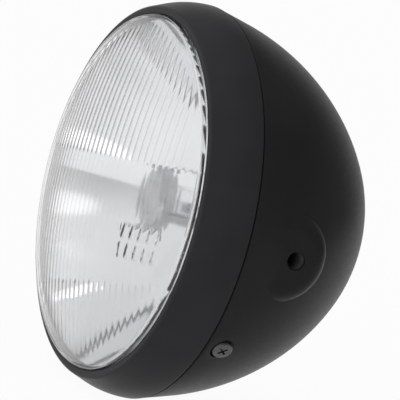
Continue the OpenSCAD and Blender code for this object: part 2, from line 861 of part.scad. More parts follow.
shell();
rim();
rim_seal();
lens();
lens_sealant();
reflector();
bulb_holder_ring();
bulb_shield();
bulb_glass();
main_filament();
dipped_filament();
dip_screen();
filament_wires();
bulb_flange();
bulb_base();
bulb_insulator();
bulb_terminals();
bulb_clip();
clip_bracket();
clip_screws();
bulb_boot();
position_grommet();
position_holder();
position_bulb();
position_filament();
position_terminals();
unit_clips();
top_hook();
left_tab();
right_tab();
tab_nuts();
rim_screws();
left_bush();
right_bush();
cable_grommet();
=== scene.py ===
"""Round motorcycle headlight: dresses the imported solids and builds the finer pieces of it.

The sizes of pieces are in mm, their depths count from the rim's front face to the rear, and
angles are in degrees.
"""

import logging
import math
from dataclasses import dataclass
from enum import Enum
from typing import Any, Iterable, Sequence

import bmesh
import bpy
from mathutils import Matrix, Vector


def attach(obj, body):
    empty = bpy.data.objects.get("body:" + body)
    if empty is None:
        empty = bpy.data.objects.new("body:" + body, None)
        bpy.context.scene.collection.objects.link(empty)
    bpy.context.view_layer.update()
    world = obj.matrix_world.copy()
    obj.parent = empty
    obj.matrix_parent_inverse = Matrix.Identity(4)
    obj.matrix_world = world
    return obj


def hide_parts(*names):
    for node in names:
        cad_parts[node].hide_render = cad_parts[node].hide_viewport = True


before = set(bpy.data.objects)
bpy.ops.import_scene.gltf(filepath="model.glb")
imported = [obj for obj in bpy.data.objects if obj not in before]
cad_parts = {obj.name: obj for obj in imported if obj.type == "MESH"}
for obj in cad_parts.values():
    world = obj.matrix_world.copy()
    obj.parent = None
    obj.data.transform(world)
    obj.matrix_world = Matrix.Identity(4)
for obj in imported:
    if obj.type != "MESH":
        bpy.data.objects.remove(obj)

LOG = logging.getLogger("headlight")
MM = 0.001
# Distance of the side holes behind the rim's front face, in mm.
MOUNT_DEPTH = 52.0
# Turn of the lamp unit about its axis, in radians.
UNIT_TURN = math.radians(-8.5)
# Points closer than this, in mm, are one point.
SAME_POINT = 1e-4
# Noise values lie between these two nearly everywhere.
NOISE_LOW, NOISE_HIGH = 0.3, 0.7

Point = tuple[float, float]


class Slot(Enum):
    """The record's material slots."""

    SHELL = "shell"
    RIM = "rim"
    GLASS = "glass"
    CLEAR_BULB = "clear_bulb"
    MIRROR = "mirror"
    BRIGHT_STEEL = "bright_steel"
    ZINC_STEEL = "zinc_steel"
    BLACK_SCREW = "black_screw"
    TUNGSTEN = "tungsten"
    INSULATOR = "insulator"
    RUBBER = "rubber"
    SEALANT = "sealant"


class Side(Enum):
    """The two sides of the lamp, as signs along X."""

    LEFT = -1
    RIGHT = 1


def linear(code: str) -> tuple[float, float, float, float]:
    """Turns an sRGB hex colour to a linear one.

    Args:
        code: six hex digits after a hash sign.

    Returns:
        Red, green and blue as linear values, and an alpha of 1.
    """
    parts = [int(code[i : i + 2], 16) / 255 for i in (1, 3, 5)]
    red, green, blue = (
        p / 12.92 if p <= 0.04045 else ((p + 0.055) / 1.055) ** 2.4 for p in parts
    )
    return red, green, blue, 1.0


def add_node(
    tree: bpy.types.NodeTree,
    kind: str,
    settings: dict[str, Any] | None = None,
    inputs: dict[str | int, Any] | None = None,
) -> bpy.types.Node:
    """Adds one shader node with its settings, values and links.

    Args:
        tree: the node tree that takes the node.
        kind: the node's type name.
        settings: attributes to set on the node.
        inputs: a value for each input, or the socket that feeds it.

    Returns:
        The new node.
    """
    node = tree.nodes.new(kind)
    for name, value in (settings or {}).items():
        setattr(node, name, value)
    for key, value in (inputs or {}).items():
        if isinstance(value, bpy.types.NodeSocket):
            tree.links.new(value, node.inputs[key])
        else:
            node.inputs[key].default_value = value
    return node


def blank(label: str) -> bpy.types.Material:
    """Makes a material that has no nodes yet."""
    material = bpy.data.materials.new(label)
    material.use_nodes = True
    material.node_tree.nodes.clear()
    return material


@dataclass(frozen=True)
class Finish:
    """An opaque surface: its colours, its gloss and the size of its texture."""

    label: str
    slot: Slot
    light: str
    dark: str
    gloss: tuple[float, float]
    grain_mm: float
    relief_mm: float
    mottle_mm: float
    metallic: float = 0.0
    specular: float = 0.5

    def make(self) -> bpy.types.Material:
        """Builds the material.

        Returns:
            A material with grain in its bump and roughness, and soft mottling in its colour.
        """
        material = blank(self.label)
        tree = material.node_tree
        place = add_node(tree, "ShaderNodeTexCoord")
        grain = add_node(
            tree,
            "ShaderNodeTexNoise",
            {},
            {
                "Vector": place.outputs["Object"],
                "Scale": 1 / (self.grain_mm * MM),
                "Detail": 3.0,
                "Roughness": 0.55,
            },
        )
        mottle = add_node(
            tree,
            "ShaderNodeTexNoise",
            {},
            {"Vector": place.outputs["Object"], "Scale": 1 / (self.mottle_mm * MM), "Detail": 2.0},
        )
        blend = add_node(
            tree,
            "ShaderNodeMapRange",
            {},
            {"Value": mottle.outputs[0], "From Min": NOISE_LOW, "From Max": NOISE_HIGH},
        )
        colour = add_node(
            tree,
            "ShaderNodeMix",
            {"data_type": "RGBA"},
            {"Factor": blend.outputs[0], "A": linear(self.dark), "B": linear(self.light)},
        )
        gloss = add_node(
            tree,
            "ShaderNodeMapRange",
            {},
            {
                "Value": grain.outputs[0],
                "From Min": NOISE_LOW,
                "From Max": NOISE_HIGH,
                "To Min": self.gloss[0],
                "To Max": self.gloss[1],
            },
        )
        bump = add_node(
            tree,
            "ShaderNodeBump",
            {},
            {"Strength": 1.0, "Distance": self.relief_mm * MM, "Height": grain.outputs[0]},
        )
        shader = add_node(
            tree,
            "ShaderNodeBsdfPrincipled",
            {},
            {
                "Base Color": colour.outputs["Result"],
                "Metallic": self.metallic,
                "Roughness": gloss.outputs[0],
                "Specular IOR Level": self.specular,
                "Normal": bump.outputs[0],
            },
        )
        add_node(tree, "ShaderNodeOutputMaterial", {}, {"Surface": shader.outputs[0]})
        return material


@dataclass(frozen=True)
class ClearGlass:
    """Clear glass that lets light through to what lies behind it."""

    label: str
    slot: Slot
    tint: str
    ior: float
    roughness: float
    wave_mm: float
    relief_mm: float

    def make(self) -> bpy.types.Material:
        """Builds the material.

        Returns:
            A glass material with the faint waves that its making leaves.
        """
        material = blank(self.label)
        tree = material.node_tree
        place = add_node(tree, "ShaderNodeTexCoord")
        waves = add_node(
            tree,
            "ShaderNodeTexNoise",
            {},
            {"Vector": place.outputs["Object"], "Scale": 1 / (self.wave_mm * MM), "Detail": 1.0},
        )
        bump = add_node(
            tree,
            "ShaderNodeBump",
            {},
            {"Strength": 1.0, "Distance": self.relief_mm * MM, "Height": waves.outputs[0]},
        )
        glass = add_node(
            tree,
            "ShaderNodeBsdfPrincipled",
            {},
            {
                "Base Color": linear(self.tint),
                "Roughness": self.roughness,
                "IOR": self.ior,
                "Transmission Weight": 1.0,
                "Normal": bump.outputs[0],
            },
        )
        ray = add_node(tree, "ShaderNodeLightPath")
        clear = add_node(tree, "ShaderNodeBsdfTransparent", {}, {"Color": linear(self.tint)})
        shader = add_node(
            tree,
            "ShaderNodeMixShader",
            {},
            {0: ray.outputs["Is Shadow Ray"], 1: glass.outputs[0], 2: clear.outputs[0]},
        )
        add_node(tree, "ShaderNodeOutputMaterial", {}, {"Surface": shader.outputs[0]})
        return material


# Polyester powder coat, baked: soft gloss with a faint orange peel about 2 mm across.
SATIN_POWDER_COAT = Finish(
    "satin_powder_coat", Slot.SHELL, "#333334", "#2d2d2f", (0.33, 0.4), 2.2, 0.014,
    mottle_mm=35.0, specular=0.06,
)
# The same coat on the drawn rim, painted lighter than the shell's as painted sheen; it reads a
# little smoother where the steel was polished first.
RIM_COAT_PAINTED_SHEEN = Finish(
    "rim_coat_painted_sheen", Slot.RIM, "#3f3f41", "#39393b", (0.34, 0.4), 1.8, 0.012,
    mottle_mm=30.0, specular=0.05,
)
# Black zinc plate with oil on a cold headed screw: greyer than the coat, and metallic.
BLACK_ZINC = Finish(
    "black_zinc_plate", Slot.BLACK_SCREW, "#5e5e5e", "#4a4a4a", (0.25, 0.38), 0.8, 0.004,
    mottle_mm=3.0, metallic=0.75,
)
# The same plate, dull, on a bush that shows only down its hole; its colour is darkened to nearly
# black as painted shade for the hole.
SHADED_BLACK_ZINC = Finish(
    "shaded_black_zinc_plate", Slot.BLACK_SCREW, "#303033", "#232326", (0.4, 0.5), 0.6, 0.004,
    mottle_mm=3.0, metallic=0.4,
)
# Zinc plated pressed steel: pale grey with a fine spangle.
ZINC_PLATE = Finish(
    "zinc_plated_steel", Slot.ZINC_STEEL, "#c9ccce", "#adb1b4", (0.28, 0.42), 0.9, 0.004,
    mottle_mm=6.0, metallic=1.0,
)
# Nickel plate on the bulb's cap and blades: bright and clean, with a slight haze.
NICKEL_PLATE = Finish(
    "nickel_plated_steel", Slot.BRIGHT_STEEL, "#b9babc", "#a8a9ab", (0.05, 0.1), 1.2, 0.001,
    mottle_mm=8.0, metallic=1.0,
)
# Aluminium vapour on lacquer: an almost clean mirror with a breath of haze.
VAPOUR_ALUMINIUM = Finish(
    "vapour_aluminised_mirror", Slot.MIRROR, "#f0f1f3", "#e9ebed", (0.03, 0.06), 6.0, 0.0004,
    mottle_mm=25.0, metallic=1.0,
)
# Drawn tungsten coil: dark grey metal, uneven at the scale of its turns.
DRAWN_TUNGSTEN = Finish(
    "drawn_tungsten", Slot.TUNGSTEN, "#8c8a86", "#6f6d69", (0.3, 0.45), 0.3, 0.05,
    mottle_mm=2.0, metallic=1.0,
)
# Phenolic disc under the blades: brown black and dull, with filler specks.
PHENOLIC = Finish(
    "pressed_phenolic", Slot.INSULATOR, "#3a2b22", "#2b211b", (0.5, 0.65), 0.6, 0.01, mottle_mm=3.0
)
# Moulded EPDM rubber: matt black with a dusty bloom.
MOULDED_RUBBER = Finish(
    "moulded_rubber", Slot.RUBBER, "#262627", "#1a1a1b", (0.62, 0.78), 0.7, 0.012,
    mottle_mm=14.0, specular=0.3,
)
# Butyl bead round the glass: dark, tacky and a little lumpy.
BUTYL_BEAD = Finish(
    "butyl_sealant", Slot.SEALANT, "#3a3b3d", "#2c2d2f", (0.45, 0.6), 2.5, 0.05, mottle_mm=9.0
)
# Pressed soda lime glass: clear with long shallow waves from the mould.
PRESSED_GLASS = ClearGlass("pressed_glass", Slot.GLASS, "#fdfdfd", 1.52, 0.08, 9.0, 0.004)
# Drawn quartz tube: clear and even.
QUARTZ_TUBE = ClearGlass("quartz_tube", Slot.CLEAR_BULB, "#fdfdfe", 1.46, 0.0, 6.0, 0.001)

FINISHES: tuple[Finish | ClearGlass, ...] = (
    SATIN_POWDER_COAT,
    RIM_COAT_PAINTED_SHEEN,
    BLACK_ZINC,
    SHADED_BLACK_ZINC,
    ZINC_PLATE,
    NICKEL_PLATE,
    VAPOUR_ALUMINIUM,
    DRAWN_TUNGSTEN,
    PHENOLIC,
    MOULDED_RUBBER,
    BUTYL_BEAD,
    PRESSED_GLASS,
    QUARTZ_TUBE,
)


def arc(centre: Point, radius: float, start: float, end: float, count: int) -> list[Point]:
    """Points along an arc.

    Args:
        centre: the arc's centre.
        radius: the arc's radius.
        start: the first point's angle in degrees.
        end: the last point's angle in degrees.
        count: the number of steps.

    Returns:
        count + 1 points from start to end.
    """
    turns = [math.radians(start + (end - start) * i / count) for i in range(count + 1)]
    return [(centre[0] + radius * math.cos(a), centre[1] + radius * math.sin(a)) for a in turns]


def turned(
    section: Sequence[Point],
    steps: int,
    closed: bool = True,
    sweep: float = 360.0,
    start: float = 0.0,
) -> bmesh.types.BMesh:
    """Turns a section round the lamp's axis.

    Args:
        section: points as radius and depth behind the rim's front face, in mm.
        steps: faces round the turn.
        closed: True joins the section's last point to its first.
        sweep: angle of the turn in degrees.
        start: where the turn starts, in degrees above the right-hand horizontal.

    Returns:
        A bmesh in mm, in the lamp's own frame.
    """
    shape = bmesh.new()
    points = [shape.verts.new((r, t - MOUNT_DEPTH, 0.0)) for r, t in section]
    ends = list(zip(points, points[1:])) + ([(points[-1], points[0])] if closed else [])
    edges = [shape.edges.new(pair) for pair in ends if pair[0].co.x > 0 or pair[1].co.x > 0]
    full = sweep >= 360.0
    if start:
        lead = Matrix.Rotation(math.radians(-start), 3, "Y")
        bmesh.ops.rotate(shape, verts=points, cent=(0, 0, 0), matrix=lead)
    bmesh.ops.spin(
        shape,
        geom=points + edges,
        cent=(0, 0, 0),
        axis=(0, -1, 0),
        angle=math.radians(sweep),
        steps=steps,
        use_merge=full,
        use_duplicate=False,
    )
    if not full:
        rims = [e for e in shape.edges if e.is_boundary]
        bmesh.ops.holes_fill(shape, edges=rims, sides=len(points))
    bmesh.ops.remove_doubles(shape, verts=shape.verts, dist=SAME_POINT)
    bmesh.ops.recalc_face_normals(shape, faces=shape.faces)
    return shape


def rod(radius: float, low: float, high: float, steps: int) -> bmesh.types.BMesh:
    """Makes a round rod along the lamp's axis.

    Args:
        radius: the rod's radius in mm.
        low: depth of its first end in mm.
        high: depth of its second end in mm.
        steps: faces round the rod.

    Returns:
        A closed bmesh in mm, in the lamp's own frame.
    """
    section = [(0.0, low), (radius, low), (radius, high), (0.0, high)]
    return turned(section, steps, closed=False)


def to_side(shape: bmesh.types.BMesh, middle: float, depth: float) -> bmesh.types.BMesh:
    """Lays a shape turned about the lamp's axis along a spoke instead.

    Args:
        shape: the turned shape, whose depth becomes the distance from the axis.
        middle: the spoke's angle above the right-hand horizontal, in degrees.
        depth: the spoke's distance behind the rim's front face, in mm.

    Returns:
        The same shape.
    """
    bmesh.ops.translate(shape, verts=shape.verts, vec=(0, MOUNT_DEPTH, 0))
    lay = Matrix.Rotation(math.radians(-90), 4, "Z")
    spoke = Matrix.Rotation(math.radians(-middle), 4, "Y")
    shift = Matrix.Translation((0, depth - MOUNT_DEPTH, 0))
    bmesh.ops.transform(shape, verts=shape.verts, matrix=shift @ spoke @ lay)
    return shape


def joined(shapes: Iterable[bmesh.types.BMesh]) -> bmesh.types.BMesh:
    """Puts separate shapes into one bmesh and frees the old ones."""
    whole = bmesh.new()
    for shape in shapes:
        mesh = bpy.data.meshes.new("part")
        shape.to_mesh(mesh)
        shape.free()
        whole.from_mesh(mesh)
        bpy.data.meshes.remove(mesh)
    return whole


def combined(
    base: bmesh.types.BMesh, other: bmesh.types.BMesh, operation: str
) -> bmesh.types.BMesh:
    """Joins, cuts or crosses two closed shapes and frees the old ones.

    Args:
        base: the shape that is kept.
        other: the shape it is joined with or cut by.
        operation: UNION, DIFFERENCE or INTERSECT.

    Returns:
        The new shape.
    """
    holders = []
    for name, shape in (("base", base), ("other", other)):
        mesh = bpy.data.meshes.new(name)
        shape.to_mesh(mesh)
        shape.free()
        holder = bpy.data.objects.new(name, mesh)
        bpy.context.scene.collection.objects.link(holder)
        holders.append(holder)
    cut = holders[0].modifiers.new("cut", "BOOLEAN")
    cut.operation, cut.solver, cut.object = operation, "EXACT", holders[1]
    graph = bpy.context.evaluated_depsgraph_get()
    result = bmesh.new()
    result.from_mesh(holders[0].evaluated_get(graph).to_mesh())
    for holder in holders:
        mesh = holder.data
        bpy.data.objects.remove(holder)
        bpy.data.meshes.remove(mesh)
    bmesh.ops.remove_doubles(result, verts=result.verts, dist=SAME_POINT)
    return result


class Workshop:
    """Turns finished shapes into pieces and holds the materials."""

    def __init__(self) -> None:
        """Builds every finish once."""
        self.materials = {finish.label: finish.make() for finish in FINISHES}

    def piece(
        self,
        name: str,
        shape: bmesh.types.BMesh,
        finish: Finish | ClearGlass,
        nodes: Sequence[str],
        crease: float = 32.0,
        turn: float = 0.0,
    ) -> None:
        """Makes a piece from a shape in mm.

        Args:
            name: the piece's name.
            shape: the shape, which is freed.
            finish: the piece's finish.
            nodes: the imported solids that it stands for.
            crease: edges sharper than this angle in degrees stay crisp.
            turn: turn about the lamp's axis in radians.
        """
        place = Matrix.Scale(MM, 4) @ Matrix.Rotation(turn, 4, "Y")
        bmesh.ops.transform(shape, verts=shape.verts, matrix=place)
        mesh = bpy.data.meshes.new(name)
        shape.to_mesh(mesh)
        shape.free()
        mesh.shade_smooth()
        mesh.set_sharp_from_angle(angle=math.radians(crease))
        mesh.materials.append(self.materials[finish.label])
        made = bpy.data.objects.new(name, mesh)
        bpy.context.scene.collection.objects.link(made)
        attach(made, "root")
        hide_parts(*nodes)
        LOG.info("%s: %d faces", name, len(mesh.polygons))

    def dress(self, finish: Finish | ClearGlass, *nodes: str) -> None:
        """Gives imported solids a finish.

        Args:
            finish: the finish.
            nodes: the solids' names.
        """
        for node in nodes:
            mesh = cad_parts[node].data
            mesh.materials.clear()
            mesh.materials.append(self.materials[finish.label])
            LOG.info("%s: %s", node, finish.label)


@dataclass
class Rim:
    """The trim ring: a narrow front face, a rounded nose, a flared flank and a hemmed edge."""

    aperture_r: float = 84.0
    rim_r: float = 93.3
    depth: float = 23.7
    flare: float = 21.5
    crown_r: float = 40.0
    crown_back: float = 1.4
    nose_r: float = 1.6
    nose_centre_r: float = 86.4
    wall: float = 1.0
    lip_r: float = 0.5
    hem: float = 3.0
    hem_edge_r: float = 0.6
    hem_wall: float = 0.9
    hem_fold: float = 1.3
    nose_steps: int = 10
    crown_steps: int = 14
    edge_steps: int = 4
    steps: int = 256

    def outline(self, inset: float) -> list[Point]:
        """The nose and the flank, moved inwards.

        Args:
            inset: distance below the outer face in mm.

        Returns:
            Points from the front edge to the crown.
        """
        centre = (self.nose_centre_r, self.nose_r)
        nose = arc(centre, self.nose_r - inset, -90, -self.flare, self.nose_steps)
        crown = (self.rim_r - self.crown_r, self.depth - self.crown_back)
        return nose + arc(crown, self.crown_r - inset, -self.flare, 0, self.crown_steps)

    def build(self, shop: Workshop) -> None:
        """Builds the ring and dresses the seal behind its lip."""
        hem_r = self.rim_r - self.hem
        centre = (self.aperture_r + self.lip_r, self.lip_r)
        lip = arc(centre, self.lip_r, 180, 270, self.edge_steps)
        section = [(self.aperture_r, self.wall)] + lip + self.outline(0)
        centre = (self.rim_r - self.hem_edge_r, self.depth - self.hem_edge_r)
        section += arc(centre, self.hem_edge_r, 0, 90, self.edge_steps)
        section += [(hem_r, self.depth), (hem_r, self.depth - self.hem_wall)]
        section += [(self.rim_r - self.wall, self.depth - self.hem_fold)]
        section += list(reversed(self.outline(self.wall)))
        # The rim's coat is the shell's coat painted lighter: painted sheen.
        shop.piece("trim_rim", turned(section, self.steps), RIM_COAT_PAINTED_SHEEN, ("rim",))
        shop.dress(MOULDED_RUBBER, "rim_seal")
        shop.dress(ZINC_PLATE, "top_hook", "left_tab", "right_tab", "tab_nuts", "unit_clips")


@dataclass
class Shell:
    """The drawn bowl with its spigot, side pads, screw seats and cable hole."""

    front: float = 24.4
    radius: float = 92.7
    taper: float = 13.4
    straight: float = 13.4
    shoulder_r: float = 116.0
    back_r: float = 77.0
    wall: float = 1.2
    edge_r: float = 0.8
    spigot_r: float = 90.0
    spigot: float = 6.8
    mount_half: float = 87.5
    step_front: float = 1.4
    step_back: float = 3.4
    pad_flat_r: float = 12.5
    pad_edge_r: float = 9.5
    pad_root: float = 59.0
    pad_lead: float = 4.0
    pad_steps: int = 96
    hole_d: float = 8.8
    hole_inner: float = 80.0
    hole_outer: float = 92.0
    screw_angle: float = 32.0
    screw_depth: float = 34.3
    seat_d: float = 11.6
    seat_drop: float = 1.4
    seat_reach: float = 10.0
    cup_reach: float = 8.0
    screw_hole_d: float = 5.6
    screw_hole_reach: float = 5.0
    inlet_d: float = 22.0
    inlet_drop: float = 34.0
    inlet_reach: float = 9.0
    overshoot: float = 1.0
    shoulder_steps: int = 28
    dome_steps: int = 18
    pad_arc_steps: int = 16
    edge_steps: int = 6
    hole_steps: int = 64
    steps: int = 224

    @property
    def taper_end(self) -> Point:
        """Where the straight wall ends."""
        slope = math.radians(self.taper)
        return (
            self.radius - self.straight * math.sin(slope),
            self.front + self.edge_r + self.straight * math.cos(slope),
        )

    @property
    def shoulder(self) -> Point:
        """The centre of the shoulder's arc."""
        slope = math.radians(self.taper)
        return (
            self.taper_end[0] - self.shoulder_r * math.cos(slope),
            self.taper_end[1] - self.shoulder_r * math.sin(slope),
        )

    @property
    def blend(self) -> float:
        """The angle at which the shoulder meets the domed back, in degrees."""
        return math.degrees(math.acos(-self.shoulder[0] / (self.shoulder_r - self.back_r)))

    @property
    def back(self) -> Point:
        """The centre of the domed back's arc."""
        rise = (self.shoulder_r - self.back_r) * math.sin(math.radians(self.blend))
        return (0.0, self.shoulder[1] + rise)

    @property
    def screw_angles(self) -> tuple[float, float]:
        """Where the two rim screws sit, in degrees above the right-hand horizontal."""
        return -self.screw_angle, 180 + self.screw_angle

    @property
    def seat_level(self) -> float:
        """Distance from the lamp's axis to the screws' seats."""
        along = self.screw_depth - self.front - self.edge_r
        return self.radius - along * math.tan(math.radians(self.taper)) - self.seat_drop

    def bowl(self, inset: float) -> list[Point]:
        """The bowl's outline, moved inwards.

        Args:
            inset: distance below the outer face in mm.

        Returns:
            Points from the straight wall's front to the axis.
        """
        slope = math.radians(self.taper)
        first = (self.radius - inset / math.cos(slope), self.front + self.edge_r)
        curve_r, back_r = self.shoulder_r - inset, self.back_r - inset
        shoulder = arc(self.shoulder, curve_r, self.taper, self.blend, self.shoulder_steps)
        dome = arc(self.back, back_r, self.blend, 90, self.dome_steps)[1:-1]
        return [first] + shoulder + dome + [(0.0, self.back[1] + self.back_r - inset)]

    def pads(self, inset: float) -> bmesh.types.BMesh:
        """Both side pads, moved inwards.

        Args:
            inset: distance below the outer face in mm.

        Returns:
            Two closed drums, one for each side.
        """
        centre = (self.pad_flat_r, self.mount_half - self.pad_edge_r)
        edge = arc(centre, self.pad_edge_r - inset, 0, 90, self.pad_arc_steps)
        wide = self.pad_flat_r + self.pad_edge_r - inset
        section = [(0.0, self.pad_root), (wide, self.pad_root)] + edge
        section += [(0.0, self.mount_half - inset)]
        depth = MOUNT_DEPTH - self.pad_lead
        drums = [
            to_side(turned(section, self.pad_steps, closed=False), middle, depth)
            for middle in (0, 180)
        ]
        for drum in drums:
            bmesh.ops.holes_fill(drum, edges=[e for e in drum.edges if e.is_boundary])
        return joined(drums)

    def drill(self) -> bmesh.types.BMesh:
        """Everything that is cut through the wall: screw seats, side holes and the cable hole.

        Returns:
            Five closed shapes.
        """
        level = self.seat_level
        hole_r, seat_r = self.screw_hole_d / 2, self.seat_d / 2
        low, high = level - self.screw_hole_reach, level + self.seat_reach
        seat = [(0.0, low), (hole_r, low), (hole_r, level)]
        seat += [(seat_r, level), (seat_r, high), (0.0, high)]
        shapes = [
            to_side(turned(seat, self.hole_steps, closed=False), middle, self.screw_depth)
            for middle in self.screw_angles
        ]
        shapes += [
            to_side(
                rod(self.hole_d / 2, self.hole_inner, self.hole_outer, self.hole_steps),
                middle,
                MOUNT_DEPTH,
            )
            for middle in (0, 180)
        ]
        inner, outer = self.back_r - self.inlet_reach, self.back_r + self.inlet_reach
        inlet = rod(self.inlet_d / 2, inner, outer, self.hole_steps)
        tilt = Matrix.Rotation(-math.asin(self.inlet_drop / self.back_r), 4, "X")
        move = Matrix.Translation((0, self.back[1] - MOUNT_DEPTH, 0))
        bmesh.ops.translate(inlet, verts=inlet.verts, vec=(0, MOUNT_DEPTH, 0))
        bmesh.ops.transform(inlet, verts=inlet.verts, matrix=move @ tilt)
        return joined(shapes + [inlet])

    def cups(self) -> bmesh.types.BMesh:
        """The steel round each screw seat, before it is trimmed to the bowl."""
        low, high = self.seat_level - self.wall, self.seat_level + self.cup_reach
        width = self.seat_d / 2 + self.wall
        return joined(
            to_side(rod(width, low, high, self.hole_steps), middle, self.screw_depth)
            for middle in self.screw_angles
        )

    def solid(self) -> bmesh.types.BMesh:
        """The bowl's full outside, with its spigot."""
        start = self.front - self.spigot
        centre = (self.radius - self.edge_r, self.front + self.edge_r)
        edge = arc(centre, self.edge_r, -90, 0, self.edge_steps)
        section = [(0.0, start), (self.spigot_r, start), (self.spigot_r, self.front)] + edge
        return turned(section + self.bowl(0)[1:], self.steps, closed=False)

    def hollow(self) -> bmesh.types.BMesh:
        """The space inside the bowl."""
        inner = self.spigot_r - self.wall
        open_end = self.front - self.spigot - self.overshoot
        step = self.front + self.step_back
        slope = math.radians(self.taper)
        lead = self.radius - (step - self.front - self.edge_r) * math.tan(slope)
        lead -= self.wall / math.cos(slope)
        section = [(0.0, open_end), (inner, open_end)]
        section += [(inner, self.front + self.step_front), (lead, step)] + self.bowl(self.wall)[1:]
        return turned(section, self.steps, closed=False)

    def build(self, shop: Workshop) -> None:
        """Builds the bowl, and dresses the screws and the grommet in it."""
        body = combined(self.solid(), self.pads(0), "UNION")
        body = combined(body, self.hollow(), "DIFFERENCE")
        body = combined(body, self.pads(self.wall), "DIFFERENCE")
        body = combined(body, combined(self.cups(), self.solid(), "INTERSECT"), "UNION")
        body = combined(body, self.drill(), "DIFFERENCE")
        shop.piece("lamp_shell", body, SATIN_POWDER_COAT, ("shell",), crease=24.0)
        shop.dress(BLACK_ZINC, "rim_screws")
        shop.dress(MOULDED_RUBBER, "cable_grommet")


@dataclass
class SideBush:
    """The threaded steel bush behind a side hole."""

    side: Side
    node: str
    face: float = 86.15
    length: float = 12.0
    flange: float = 1.5
    flange_r: float = 8.0
    barrel_r: float = 6.0
    crest_r: float = 3.4
    root_r: float = 4.05
    pitch: float = 1.25
    crest_start: float = 0.55
    crest_end: float = 0.7
    thread_start: float = 0.5
    thread_short: float = 1.2
    sleeve_gap: float = 0.1
    sleeve_wall: float = 0.5
    sleeve_end: float = 1.0
    lip_front: float = 0.7
    lip_back: float = 0.4
    chamfer: float = 0.2
    turn_join: float = 0.002
    steps: int = 48

    def thread(self) -> bmesh.types.BMesh:
        """The bore's thread, spun along a helix.

        Returns:
            An open surface along the lamp's axis, its depth measured from the axis.
        """
        shape = bmesh.new()
        start = self.face - self.length + self.thread_start
        turns = int((self.length - self.thread_short) / self.pitch)
        tooth = [(self.root_r, 0.0), (self.crest_r, self.crest_start)]
        tooth += [(self.crest_r, self.crest_end), (self.root_r, self.pitch)]
        points = [shape.verts.new((r, start + t - MOUNT_DEPTH, 0.0)) for r, t in tooth]
        edges = [shape.edges.new(pair) for pair in zip(points, points[1:])]
        bmesh.ops.spin(
            shape,
            geom=points + edges,
            cent=(0, 0, 0),
            axis=(0, -1, 0),
            dvec=(0, self.pitch / self.steps, 0),
            angle=2 * math.pi * turns,
            steps=turns * self.steps,
            use_merge=False,
            use_duplicate=False,
        )
        bmesh.ops.remove_doubles(shape, verts=shape.verts, dist=self.turn_join)
        bmesh.ops.recalc_face_normals(shape, faces=shape.faces)
        return shape

    def build(self, shop: Workshop) -> None:
        """Builds the bush and its thread as one piece."""
        back = self.face - self.length
        mouth = self.root_r + self.sleeve_gap
        lip = mouth - self.sleeve_wall
        step = self.face - self.flange
        section = [(lip, back + self.lip_back), (mouth, back), (self.barrel_r, back)]
        section += [(self.barrel_r, step), (self.flange_r, step)]
        section += [(self.flange_r, self.face), (mouth + self.chamfer, self.face)]
        section += [(lip, self.face - self.lip_front)]
        section += [(mouth, self.face - self.sleeve_end), (mouth, back + self.sleeve_end)]
        body = turned(section, self.steps)
        shape = joined([body, self.thread()])
        to_side(shape, 0 if self.side is Side.RIGHT else 180, MOUNT_DEPTH)
        # The bush's colour is the black zinc darkened as painted shade for its hole.
        shop.piece(self.node + "_threaded", shape, SHADED_BLACK_ZINC, (self.node,))


